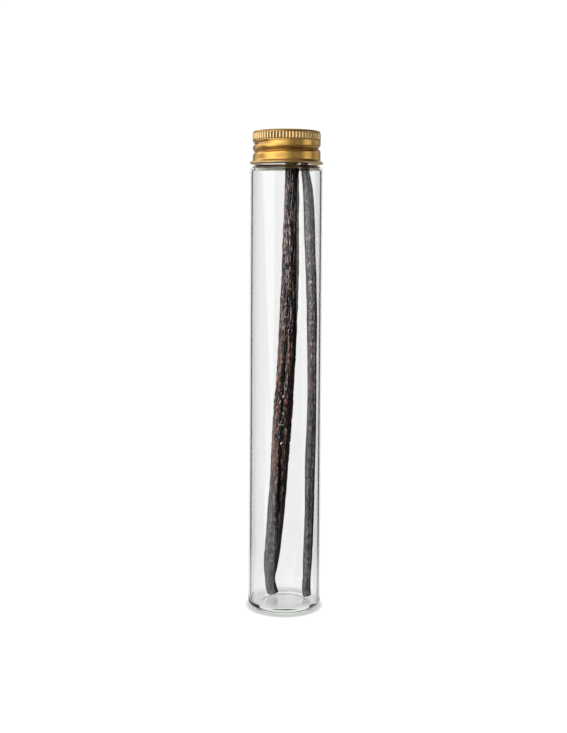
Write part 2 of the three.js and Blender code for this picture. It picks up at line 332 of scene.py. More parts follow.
def groove_height(turn):
    """Height of the middle of the rolled groove after that many degrees of turn."""
    return GROOVE_LEFT_HEIGHT + PITCH * (turn - 180) / 360


def groove_depth(angle, height):
    """How deep the groove is pressed into the cap's skirt."""
    in_from, in_to, out_from, out_to = GROOVE_FADES
    depth = np.zeros_like(height)
    for lap in range(2):
        turn = np.degrees(angle) % 360 + 360 * lap
        fade = smoothstep(in_from, in_to, turn) * (1 - smoothstep(out_from, out_to, turn))
        away = (height - groove_height(turn)) / GROOVE_HALF_WIDTH
        depth += GROOVE_DEPTH * fade * np.exp(-away * away)
    return depth


def ridge_rise(angle, height):
    """How far the glass thread stands out of the neck."""
    start, end = RIDGE_TURNS
    rise = np.zeros_like(height)
    for lap in range(2):
        turn = np.degrees(angle) % 360 + 360 * lap
        fade = smoothstep(start, start + RIDGE_FADE, turn)
        fade *= 1 - smoothstep(end - RIDGE_FADE, end, turn)
        away = (height - groove_height(turn) - PITCH / 2) / RIDGE_HALF_WIDTH
        rise += RIDGE_HEIGHT * fade * np.exp(-away * away)
    return rise


# ---- Glass tube ----------------------------------------------------------------------------


def base_rise(radius):
    """How far the underside of the base stands clear, at a radius."""
    dome = PUSH_UP * 0.3 * (1 - np.clip(radius / PUSH_UP_RADIUS, 0, 1) ** 2)
    return dome + PUSH_UP * 0.7 * (1 - smoothstep(PUSH_UP_RADIUS, STAND_RING_INNER, radius))


def glass_tube():
    inner = TUBE_RADIUS - WALL
    shoulder_foot = SHOULDER_TOP - SHOULDER_RADIUS
    inner_shoulder = SHOULDER_TOP - WALL
    underside = [(r, float(base_rise(r))) for r in np.linspace(0, STAND_RING_INNER, 36)]
    fillet_middle = SHOULDER_TOP + NECK_FILLET
    neck_foot = fillet_middle + 0.1
    profile = [
        *underside,
        *arc(TUBE_RADIUS - HEEL_RADIUS, HEEL_RADIUS, HEEL_RADIUS, -90, 0, 20),
        *wall(TUBE_RADIUS, HEEL_RADIUS + 1, shoulder_foot - 1, 8),
        *arc(TUBE_RADIUS - SHOULDER_RADIUS, shoulder_foot, SHOULDER_RADIUS, 0, 84, 18),
        *arc(NECK_RADIUS + NECK_FILLET, fillet_middle, NECK_FILLET, 264, 190, 5),
        *wall(NECK_RADIUS, neck_foot, LIP_HEIGHT - LIP_RADIUS - 0.1, 0.22),
        *arc(NECK_RADIUS - LIP_RADIUS, LIP_HEIGHT - LIP_RADIUS, LIP_RADIUS, 0, 90, 8),
        *arc(NECK_BORE + LIP_RADIUS, LIP_HEIGHT - LIP_RADIUS, LIP_RADIUS, 90, 180, 8),
        *wall(NECK_BORE, LIP_HEIGHT - 2, inner_shoulder + 2, 3),
        *arc(NECK_BORE + NECK_FILLET, inner_shoulder + NECK_FILLET, NECK_FILLET, 180, 264, 5),
        *arc(inner - INNER_SHOULDER_RADIUS, inner_shoulder - INNER_SHOULDER_RADIUS,
             INNER_SHOULDER_RADIUS, 90, 0, 14),
        *wall(inner, shoulder_foot - 3, BASE_THICKNESS + INNER_HEEL_RADIUS + 1, 8),
        *arc(inner - INNER_HEEL_RADIUS, BASE_THICKNESS + INNER_HEEL_RADIUS,
             INNER_HEEL_RADIUS, 0, -90, 14),
        *[(r, BASE_THICKNESS) for r in np.linspace(inner - INNER_HEEL_RADIUS - 1, 0, 8)],
    ]

    def with_thread(radius, angle, height):
        on_neck = (np.abs(radius - NECK_RADIUS) < SAME_RADIUS) & (height > neck_foot)
        clear = smoothstep(neck_foot, neck_foot + 0.6, height)
        return radius + on_neck * clear * ridge_rise(angle, height)

    return turned("clear_glass_tube", profile, TUBE_COLUMNS, with_thread)


# ---- Screw cap -----------------------------------------------------------------------------


def tooth_shape(angle):
    """From 0 at the root of a knurl tooth to 1 on its rounded crest."""
    return (0.5 + 0.5 * np.cos(TEETH * angle)) ** TOOTH_ROUNDNESS


def screw_cap():
    curl = CAP_CURL_RADIUS
    inner = CAP_BAND_RADIUS - CAP_SHEET
    edge_middle = CAP_BAND_RADIUS - CAP_EDGE_RADIUS
    behind_knurl = KNURL_ROOT - 0.1
    inside_knurl = behind_knurl - CAP_SHEET
    thread_foot = CAP_CREASE + 0.7
    thread_top = KNURL_BOTTOM - 0.1
    profile = [
        (0, CAP_TOP),
        *[(r, CAP_TOP) for r in np.linspace(3, edge_middle - 0.4, 5)],
        *arc(edge_middle, CAP_TOP - CAP_EDGE_RADIUS, CAP_EDGE_RADIUS, 90, 0, 12)[:-2],
        *wall(KNURL_CREST, KNURL_TOP, KNURL_BOTTOM, 0.14),
        *wall(CAP_BAND_RADIUS, thread_top, thread_foot, 0.14),
        (CAP_BAND_RADIUS, CAP_CREASE + CAP_STEP),
        (CAP_BAND_RADIUS + 0.03, CAP_CREASE + CAP_STEP * 0.6),
        (CAP_BAND_RADIUS + CAP_HEM_STEP - 0.03, CAP_CREASE + CAP_STEP * 0.3),
        (CAP_BAND_RADIUS + CAP_HEM_STEP, CAP_CREASE),
        (CAP_BAND_RADIUS + CAP_HEM_STEP + 0.04, CAP_CREASE - 0.25),
        *arc(CAP_RIM_RADIUS - curl, CAP_BOTTOM + curl, curl, 70, -170, 16),
        (inner, CAP_BOTTOM + curl + 0.15),
        *wall(inner, thread_foot, thread_top, 0.25),
        (inside_knurl, KNURL_BOTTOM + 0.3),
        (inside_knurl, KNURL_TOP - 0.6),
        *arc(inside_knurl - 0.6, CAP_TOP - CAP_SHEET - 0.6, 0.6, 0, 90, 4),
        (0, CAP_TOP - CAP_SHEET),
    ]

    def with_relief(radius, angle, height):
        outside = radius > KNURL_ROOT + 0.3
        band = outside & (height <= KNURL_TOP) & (height >= KNURL_BOTTOM)
        bevel_top = np.clip((KNURL_TOP - height) / KNURL_BEVEL, 0, 1)
        bevel_foot = np.clip((height - KNURL_BOTTOM) / KNURL_BEVEL, 0, 1)
        full = np.sin(np.minimum(bevel_top, bevel_foot) * math.pi / 2)
        toothed = KNURL_ROOT + (KNURL_CREST - KNURL_ROOT) * tooth_shape(angle) * full
        radius = np.where(band, toothed, radius)
        rolled = (radius > inner - SAME_RADIUS) & (height < KNURL_BOTTOM) & (height > CAP_CREASE)
        return radius - rolled * groove_depth(angle, height)

    cap = turned("gold_screw_cap", profile, TEETH * COLUMNS_PER_TOOTH, with_relief)
    for name, values in painted_shade_and_highlight(cap).items():
        keep_values(cap, name, values)
    return cap


def painted_shade_and_highlight(cap):
    """Painted shade in the roots of the knurls and in the groove, and a painted highlight on the
    knurls' crests and the curled bead, each from 0 to 1."""
    points = np.empty(3 * len(cap.data.vertices), dtype=np.float32)
    cap.data.vertices.foreach_get("co", points)
    x, y, height = points.reshape(-1, 3).T / MM
    angle = np.arctan2(y, x)
    knurled = (height <= KNURL_TOP) & (height >= KNURL_BOTTOM)
    grooved = (height < KNURL_BOTTOM) & (height > CAP_CREASE)
    curled = height < CAP_BOTTOM + 2 * CAP_CURL_RADIUS
    in_roots = knurled * (1 - tooth_shape(angle))
    in_groove = grooved * groove_depth(angle, height) / GROOVE_DEPTH
    on_crests = knurled * smoothstep(0.7, 1.0, tooth_shape(angle))
    return {
        "pooled": np.clip(in_roots + PAINTED_SHADE_IN_GROOVE * in_groove, 0, 1),
        "worn": on_crests + PAINTED_HIGHLIGHT_ON_BEAD * curled,
    }


# ---- Vanilla pods --------------------------------------------------------------------------


def through(knots, column, z):
    """A smooth curve through one column of the knots, by height."""
    table = np.array(knots)
    heights, values = table[:, 0], table[:, column]
    before = np.clip(np.arange(len(knots)) - 1, 0, None)
    beyond = np.clip(np.arange(len(knots)) + 1, None, len(knots) - 1)
    slopes = (values[beyond] - values[before]) / (heights[beyond] - heights[before])
    i = np.clip(np.searchsorted(heights, z, side="right") - 1, 0, len(knots) - 2)
    span = heights[i + 1] - heights[i]
    t = (z - heights[i]) / span
    rise = t * t * (3 - 2 * t)
    return (
        values[i] * (1 - rise)
        + values[i + 1] * rise
        + span * slopes[i] * t * (1 - t) ** 2
        - span * slopes[i + 1] * t * t * (1 - t)
    )


def end_share(distance, round_length):
    """How far the rounding of an end has closed in, from 1 on the body to 0 at the very end."""
    t = np.clip(distance / round_length, 0, 1)
    return np.sqrt(1 - (1 - t) ** 2)


def lobes_at(pod, angle, z):
    """Share of the half width by which the skin stands out or falls in between the big lobes."""
    share = np.zeros_like(angle)
    for i, (count, size, wander, length) in enumerate(LOBES):
        phase = pod["phase"] * (i + 1)
        share += size * np.cos(count * angle + wander * np.sin(z / length + phase) + phase)
    return share


def wrapped_noise(angle, z, half, across, along, seed):
    """Smooth noise wrapped round a pod, its cells so many millimetres across and along."""
    reach = half / across
    places = np.stack([reach * np.cos(angle), reach * np.sin(angle), z / along + seed], axis=-1)
    flat = places.reshape(-1, 3)
    values = [noise.noise(p) for p in flat.tolist()]
    return np.array(values).reshape(angle.shape)


def fold(field):
    """1 in the sharp crease where a noise field crosses zero, 0 on the swellings between."""
    return 1 - np.clip(np.abs(field) / FOLD_REACH, 0, 1) ** FOLD_SHARPNESS


def round_right(angle, middle=0):
    """Degrees round a pod to the right of a middle, which is itself counted from the front."""
    return (np.degrees(angle) + 90 - middle + 180) % 360 - 180


def band(pod, name, angle, z, half, wander):
    """A soft band up a pod: 1 along its middle, 0 beside it, and its strength at that height."""
    rows = pod[name]
    within = np.clip(z, rows[0][0], rows[-1][0])
    middle, half_width, strength = (through(rows, column, within) for column in (1, 2, 3))
    off_middle = np.radians(round_right(angle, middle - wander)) * half
    return np.exp(-((off_middle / half_width) ** 2)), strength


def pod_relief(pod, angle, z, half):
    """Depth of the wrinkles in millimetres, and shares from 0 to 1 for the skin's colour, among
    them painted shade in the creases and on the side away from the lamps, and a painted sheen
    on the ridges.
    """

    def cells(name, where=angle):
        across, along, seed = SKIN_FOLDS[name]
        return wrapped_noise(where, z, half, across, along, pod["seed"] + seed)

    wrinkles, oil, dust = (through(pod["skin"], column, z) for column in (1, 2, 3))
    bent = angle + BEND * cells("bend")
    drift = cells("drift")
    lines = 1 - np.abs(np.sin(pod["ridges"] * angle / 2 + RIDGE_DRIFT * drift)) ** FOLD_SHARPNESS
    braid = fold(cells("braid", bent))
    strand = fold(cells("strand", bent))
    crumple = np.clip(cells("crumple", bent), -CRUMPLE_LIMIT, CRUMPLE_LIMIT)
    furrow, furrow_depth = band(pod, "furrow", angle, z, half, FURROW_WANDER * cells("wander"))
    flecks, fleck_strength = band(pod, "flecks", angle, z, half, 0)
    wet = oil * (WET_SKIN + (1 - WET_SKIN) * furrow)
    depth = wrinkles * (lines + SHORT_FOLDS * (braid + strand) - MEAN_WRINKLE)
    depth += furrow_depth * furrow + CRUMPLE_DEPTH * wet * crumple
    folded = np.maximum(lines, 0.9 * np.maximum(braid, strand))
    # Painted shade: the creases, and the long furrow, are darkened towards near-black.
    crease = np.clip(2.4 * folded - 0.5, 0, 1) * np.clip(wrinkles / CREASES_SHOW, 0, 1)
    # Painted sheen: the ridge tops are lightened to a pale pinkish grey.
    ridge = np.clip(1 - 2.2 * folded, 0, 1) * np.clip(wrinkles / RIDGES_SHOW, 0, 1)
    # Painted shade on the side of each pod away from the lamps, which also takes off the slate
    # grey and the ridge sheen there.
    sets_in, over, how_shaded = (through(pod["rubbed"], column, z) for column in (1, 2, 3))
    side = round_right(angle) + SHADE_SIDE_WANDER * drift
    rubbed = how_shaded * smoothstep(sets_in - over, sets_in + over, side)
    rubbed *= 1 - smoothstep(*SHADE_SIDE_END, side)
    unshaded = 1 - SHADE_SIDE_CLEARS * rubbed
    return depth, {
        "rubbed": rubbed,
        "crease": np.clip(crease * (1 - 0.4 * oil) + 0.9 * furrow * furrow_depth, 0, 1),
        "oil": np.clip(oil * (OILY_SKIN + (1 - OILY_SKIN) * furrow), 0, 1),
        "dust": np.clip(dust * unshaded, 0, 1),
        "ridge": ridge * unshaded,
        "flecks": np.clip(flecks * fleck_strength, 0, 1),
    }


def vanilla_pod(name, pod):
    knots = pod["knots"]
    foot, tip = knots[0][0], knots[-1][0]
    v = np.arange(1, pod["rows"]) / pod["rows"]
    share = v - ROW_CROWDING * np.sin(2 * math.pi * v) / (2 * math.pi)
    z = (foot + (tip - foot) * share)[:, None]
    angle = (np.arange(pod["columns"]) * 2 * math.pi / pod["columns"])[None, :]
    angle = np.broadcast_to(angle, (len(v), pod["columns"]))
    z = np.broadcast_to(z, angle.shape)
    half = through(knots, 3, z)
    ends = end_share(z - foot, pod["foot_round"]) * end_share(tip - z, pod["tip_round"])
    depth, finish = pod_relief(pod, angle, z, half)
    radius = (half * (1 + lobes_at(pod, angle, z)) - depth) * ends
    step = 0.5
    low, high = np.clip(z - step, foot, tip), np.clip(z + step, foot, tip)
    across = [through(knots, i, high) - through(knots, i, low) for i in (1, 2)]
    along = np.stack([*across, high - low], axis=-1)
    along /= np.linalg.norm(along, axis=-1, keepdims=True)
    sideways = np.array([1.0, 0, 0]) - along * along[..., :1]
    sideways /= np.linalg.norm(sideways, axis=-1, keepdims=True)
    backwards = np.cross(along, sideways)
    right = radius * np.cos(angle)
    slant = pod["foot_slant"] * (1 - smoothstep(0, SLANT_LENGTH, z - foot))
    skin = np.stack([through(knots, 1, z), through(knots, 2, z), z + slant * right], axis=-1)
    skin = skin + sideways * right[..., None]
    skin = skin + backwards * (radius * pod["depth_share"] * np.sin(angle))[..., None]
    start, end = ((k[1], k[2], k[0]) for k in (knots[0], knots[-1]))
    piece = closed_skin(name, skin, start, end)
    for value, shares in finish.items():
        keep_values(piece, value, np.concatenate([shares[0, :1], shares.ravel(), shares[-1, :1]]))
    return piece


# ---- Materials -----------------------------------------------------------------------------


def colour(code):
    """Linear colour from an sRGB hex code."""
    channels = [int(code[i:i + 2], 16) / 255 for i in (1, 3, 5)]
    linear = [c / 12.92 if c <= 0.04045 else ((c + 0.055) / 1.055) ** 2.4 for c in channels]
    return (*linear, 1)


def add_node(tree, kind, settings=None, **inputs):
    """Adds a node, sets its properties, and sets or links each input by name or by number.
    An input given as a node takes that node's first output, or as (node, name) the named one."""
    node = tree.nodes.new(kind)
    for key, value in (settings or {}).items():
        setattr(node, key, value)
    for key, value in inputs.items():
        numbered = key[0] == "_" and key[1:].isdigit()
        socket = node.inputs[int(key[1:]) if numbered else key.replace("_", " ")]
        if isinstance(value, bpy.types.Node):
            tree.links.new(value.outputs[0], socket)
        elif isinstance(value, tuple) and isinstance(value[0], bpy.types.Node):
            tree.links.new(value[0].outputs[value[1]], socket)
        else:
            socket.default_value = value
    return node


def new_material(name):
    material = bpy.data.materials.new(name)
    material.use_nodes = True
    material.node_tree.nodes.clear()
    return material, material.node_tree


TRAPPED_AFTER = 3.5  # reflections inside the thick base


def soda_glass():
    """Clear soda-lime glass, drawn as tube: colourless through the wall, a breath of green at the
    edges. Lamps reach what stands inside it without being bent, and light that is trapped in the
    thick base gets out."""
    material, tree = new_material("drawn_soda_glass")
    glass = add_node(tree, "ShaderNodeBsdfGlass", Color=colour("#FFFFFF"), Roughness=0.0, IOR=1.5)
    clear = add_node(tree, "ShaderNodeBsdfTransparent", Color=colour("#F6F6F6"))
    path = add_node(tree, "ShaderNodeLightPath")
    for_lamps = add_node(
        tree, "ShaderNodeMixShader", _0=(path, "Is Shadow Ray"), _1=glass, _2=clear,
    )
    for_skylight = add_node(
        tree, "ShaderNodeMixShader", _0=(path, "Is Diffuse Ray"), _1=for_lamps, _2=clear,
    )
    for_mirror = add_node(
        tree, "ShaderNodeMixShader", _0=(path, "Is Singular Ray"), _1=clear, _2=glass,
    )
    for_sheen = add_node(
        tree, "ShaderNodeMixShader", _0=(path, "Is Glossy Ray"), _1=for_skylight, _2=for_mirror,
    )
    trapped = add_node(
        tree, "ShaderNodeMath", {"operation": "GREATER_THAN"},
        _0=(path, "Glossy Depth"), _1=TRAPPED_AFTER,
    )
    let_out = add_node(tree, "ShaderNodeMixShader", _0=trapped, _1=for_sheen, _2=clear)
    green = add_node(tree, "ShaderNodeVolumeAbsorption", Color=colour("#D8E2D8"), Density=24.0)
    add_node(tree, "ShaderNodeOutputMaterial", Surface=let_out, Volume=green)
    return material


TURNED_LINES = (0.06, 0.06, 2.6)  # to a millimetre: long round the cap, 0.4 mm apart up it
LACQUER_CLOUDS = 0.26  # to a millimetre


def gold_lacquered_aluminium():
    """Aluminium sheet, deep drawn and lacquered gold: a satin sheen with faint turned lines and
    clouds, darkened to brown with painted shade in the roots of the knurls and in the groove, and
    lightened to pale cream with a painted highlight on the knurls' crests and the bead."""
    material, tree = new_material("gold_lacquered_aluminium")
    place = add_node(tree, "ShaderNodeTexCoord")
    scale = [lines / MM for lines in TURNED_LINES]
    stretched = add_node(tree, "ShaderNodeMapping", Vector=(place, "Object"), Scale=scale)
    lines = add_node(tree, "ShaderNodeTexNoise", Vector=stretched, Scale=1.0, Detail=2.0)
    clouds = add_node(
        tree, "ShaderNodeTexNoise", Vector=(place, "Object"), Scale=LACQUER_CLOUDS / MM,
        Detail=2.0,
    )
    tint = add_node(
        tree, "ShaderNodeMix", {"data_type": "RGBA"},
        Factor=clouds, _6=colour("#E8B150"), _7=colour("#EFBD5E"),
    )
    # Painted shade: the colour turns brown in the roots of the knurls and in the groove.
    pooled = add_node(tree, "ShaderNodeAttribute", {"attribute_name": "pooled"})
    thick = add_node(
        tree, "ShaderNodeMapRange", {"interpolation_type": "SMOOTHSTEP"}, Value=(pooled, "Fac"),
        From_Min=0.2, From_Max=1.0, To_Min=0.0, To_Max=0.85,
    )
    # Painted highlight: the colour turns pale cream on the knurls' crests and the curled bead.
    worn = add_node(tree, "ShaderNodeAttribute", {"attribute_name": "worn"})
    with_painted_highlight = add_node(
        tree, "ShaderNodeMix", {"data_type": "RGBA"},
        Factor=(worn, "Fac"), _6=(tint, 2), _7=colour("#FFF0C4"),
    )
    lacquered = add_node(
        tree, "ShaderNodeMix", {"data_type": "RGBA"},
        Factor=thick, _6=(with_painted_highlight, 2), _7=colour("#7A4E14"),
    )
    rough = add_node(
        tree, "ShaderNodeMapRange", Value=lines,
        From_Min=0.3, From_Max=0.7, To_Min=0.28, To_Max=0.38,
    )
    bump = add_node(tree, "ShaderNodeBump", Strength=0.08, Distance=0.05 * MM, Height=lines)
    metal = add_node(
        tree, "ShaderNodeBsdfPrincipled",
        Base_Color=(lacquered, 2), Metallic=1.0, Roughness=rough, Normal=bump,
        Coat_Weight=0.6, Coat_Roughness=0.25, Coat_IOR=1.6,
    )
    add_node(tree, "ShaderNodeOutputMaterial", Surface=metal)
    return material


# Noise in a pod's skin: the size of its cells in millimetres across and along, and its detail.
# The grain is drawn about twice as coarse as it is, so that it shows.
SKIN_NOISE = {
    "streaks": (0.5, 1.6, 2.0),
    "patches": (5.0, 5.0, 3.0),
    "rust spots": (1.1, 2.2, 2.0),
    "fleck spots": (0.7, 1.5, 1.0),
    "grain": (0.8, 1.5, 1.0),
    "beads": (1.0, 1.4, 1.0),
}
# What becomes of that noise, and of the shares kept with the mesh: which of them, from and to,
# what it is there, and whether it eases in and out.
SKIN_RANGES = {
    "redness": ("patches", 0.42, 0.62, 0.0, 1.0, "SMOOTHSTEP"),
    "slate_streaks": ("streaks", 0.3, 0.7, 0.75, 1.1, "LINEAR"),
    "sheen_streaks": ("streaks", 0.35, 0.65, 0.25, 1.0, "LINEAR"),
    "rust": ("rust spots", 0.6, 0.68, 0.0, 0.45, "SMOOTHSTEP"),
    "spotted": ("fleck spots", 0.55, 0.66, 0.0, 1.0, "SMOOTHSTEP"),
    "grained": ("grain", 0.36, 0.64, 0.3, 1.7, "LINEAR"),
    # Painted shade: the colour falls to about a third on the side away from the lamps.
    "shaded": ("rubbed", 0.0, 1.0, 1.0, 0.35, "LINEAR"),
    "brownness": ("oil", 0.0, 0.3, 0.0, 1.0, "LINEAR"),
    "roughness": ("oil", 0.0, 1.0, 0.52, 0.4, "LINEAR"),
}
# What is one of the above times another.
SKIN_PRODUCTS = {
    "slate_layer": ("dust", "slate_streaks"),
    "painted ridge sheen": ("ridge", "sheen_streaks"),
    "fleck": ("flecks", "spotted"),
    "shade": ("grained", "shaded"),
    "oil beads": ("oil", "beads"),
}
BEAD_HEIGHT = 12.0  # of the oil beads, as a multiple of the streaks


def cured_pod_skin(name, slate_colour, fleck_colour):
    """Vanilla pod, sweated and sun-cured: oily brown-black leather in long wrinkles, with a
    slate-grey cast in streaks, rust spots and pale flecks in a band up the front. The creases and
    the furrow are darkened with painted shade, the ridges lightened with a painted sheen, and the
    side of each pod away from the lamps darkened with painted shade."""
    material, tree = new_material(name)
    place = add_node(tree, "ShaderNodeTexCoord")
    skin = {}
    for share in ("oil", "dust", "ridge", "flecks", "crease", "rubbed"):
        skin[share] = add_node(tree, "ShaderNodeAttribute", {"attribute_name": share}), "Fac"
    for noise_name, (across, along, detail) in SKIN_NOISE.items():
        scale = (1 / across / MM, 1 / across / MM, 1 / along / MM)
        stretched = add_node(tree, "ShaderNodeMapping", Vector=(place, "Object"), Scale=scale)
        skin[noise_name] = add_node(
            tree, "ShaderNodeTexNoise", Vector=stretched, Scale=1.0, Detail=detail,
        )
    for range_name, (source, start, end, low, high, curve) in SKIN_RANGES.items():
        skin[range_name] = add_node(
            tree, "ShaderNodeMapRange", {"interpolation_type": curve}, Value=skin[source],
            From_Min=start, From_Max=end, To_Min=low, To_Max=high,
        )
    for product, (first, second) in SKIN_PRODUCTS.items():
        skin[product] = add_node(
            tree, "ShaderNodeMath", {"operation": "MULTIPLY"}, _0=skin[first], _1=skin[second],
        )

    # Painted sheen: the ridges are coloured pale pinkish grey, red-brown where the skin is oily.
    painted_ridge_sheen = add_node(
        tree, "ShaderNodeMix", {"data_type": "RGBA"},
        Factor=skin["brownness"], _6=colour("#9A918E"), _7=colour("#74493A"),
    )
    finish = colour("#37211A")
    layers = (
        ("redness", colour("#643B2B")),
        ("slate_layer", colour(slate_colour)),
        ("painted ridge sheen", (painted_ridge_sheen, 2)),
        ("rust", colour("#5E4236")),
        ("fleck", colour(fleck_colour)),
    )
    for where, shade in layers:
        layer = add_node(
            tree, "ShaderNodeMix", {"data_type": "RGBA"},
            Factor=skin[where], _6=finish, _7=shade,
        )
        finish = (layer, 2)
    # The grain, and the painted shade on the side away from the lamps, scale the colour.
    grained = add_node(
        tree, "ShaderNodeVectorMath", {"operation": "SCALE"}, _0=finish, Scale=skin["shade"],
    )
    # Painted shade: the creases and the furrow turn near-black.
    creased = add_node(
        tree, "ShaderNodeMix", {"data_type": "RGBA"},
        Factor=skin["crease"], _6=grained, _7=colour("#070504"),
    )
    height = add_node(
        tree, "ShaderNodeMath", {"operation": "MULTIPLY_ADD"},
        _0=skin["oil beads"], _1=BEAD_HEIGHT, _2=skin["streaks"],
    )
    bump = add_node(tree, "ShaderNodeBump", Strength=1.0, Distance=0.1 * MM, Height=height)
    # The sheen is dulled in the creases and on the side under painted shade.
    creased_or_shaded = add_node(
        tree, "ShaderNodeMath", {"operation": "MAXIMUM"}, _0=skin["crease"], _1=skin["rubbed"],
    )
    shine = add_node(
        tree, "ShaderNodeMapRange", Value=creased_or_shaded,
        From_Min=0.0, From_Max=1.0, To_Min=0.5, To_Max=0.08,
    )
    leather = add_node(
        tree, "ShaderNodeBsdfPrincipled",
        Base_Color=(creased, 2), Roughness=skin["roughness"], Normal=bump, IOR=1.5,
        Specular_IOR_Level=shine, Coat_Weight=skin["oil"], Coat_Roughness=0.1, Coat_IOR=1.8,
    )
    add_node(tree, "ShaderNodeOutputMaterial", Surface=leather)
    return material


TABLE_GRAIN = 0.9  # to a millimetre


def opal_table(shade):
    """Opal acrylic sheet lit from below: it glows white with a matt grain, but for the soft shade
    round the glass."""
    material, tree = new_material("opal_acrylic")
    place = add_node(tree, "ShaderNodeTexCoord")
    grain = add_node(
        tree, "ShaderNodeTexNoise", Vector=(place, "Object"), Scale=TABLE_GRAIN / MM, Detail=2.0,
    )
    rough = add_node(
        tree, "ShaderNodeMapRange", Value=grain,
        From_Min=0.3, From_Max=0.7, To_Min=0.5, To_Max=0.6,
    )
    from_axis = add_node(
        tree, "ShaderNodeVectorMath", {"operation": "LENGTH"}, _0=(place, "Object"),
    )
    (inner, dark), (outer, bright) = shade
    glow = add_node(
        tree, "ShaderNodeMapRange", {"interpolation_type": "SMOOTHSTEP"},
        Value=(from_axis, "Value"),
        From_Min=inner * MM, From_Max=outer * MM, To_Min=dark, To_Max=bright,
    )
    sheet = add_node(
        tree, "ShaderNodeBsdfPrincipled", Base_Color=colour("#3A3A3A"), Roughness=rough,
        Specular_IOR_Level=0.2, Emission_Color=colour("#FFFFFF"), Emission_Strength=glow,
    )
    add_node(tree, "ShaderNodeOutputMaterial", Surface=sheet)
    return material


# ---- Studio --------------------------------------------------------------------------------

# Soft boxes and boards round the object, in degrees: from and to in azimuth (0 in front, 90 to
# the right), from and to in elevation, how far each upright edge leans for each degree of
# elevation, softness of the edges, brightness, and the share of it that the flags let past to
# the pods and the cap.
STUDIO = (
    (151, 210.5, -40, 80, 0, 0, 5, 1.0, 0.5),       # lit backdrop
    (55, 97.5, -32, 9, 0, 1.2, 5, 0.5, 0.15),       # right soft box
    (-73.2, -38, -13, 45, -2.6, 0, 5, 1.25, 0.8),   # left soft box, hung askew
    (34, 50, -5, 2.6, 0, 0, 2, 1.2, 0.5),           # strip light beside the camera
    (-66, -32, -45, -9, 0, 0, 5, 0.8, 0.8),         # board low on the left
    (-60, -8, 12, 45, 0, 0, 12, 2.0, 0.8),          # cloth, high on the left
    (-180, 180, 60, 100, 0, 0, 14, 0.3, 1.0),       # overhead cloth
    (-100, 100, -100, -16, 0, 0, 2, 0.12, 1.0),     # the table in front
    (97, 263, -100, -17, 0, 0, 2, 0.35, 1.0),       # and behind
)
AMBIENT = 0.02
BACKGROUND_BRIGHTNESS = 1.05
# White paper, as it is seen straight through the glass.
PAPER_BRIGHTNESS = 1.02
PAPER_REACH = (-95, 35, 10)  # degrees of elevation from and to, and softness
TABLE_BRIGHTNESS = 0.82
TABLE_EDGE = (-17.8, -15.0)  # degrees of elevation over which the table turns to paper


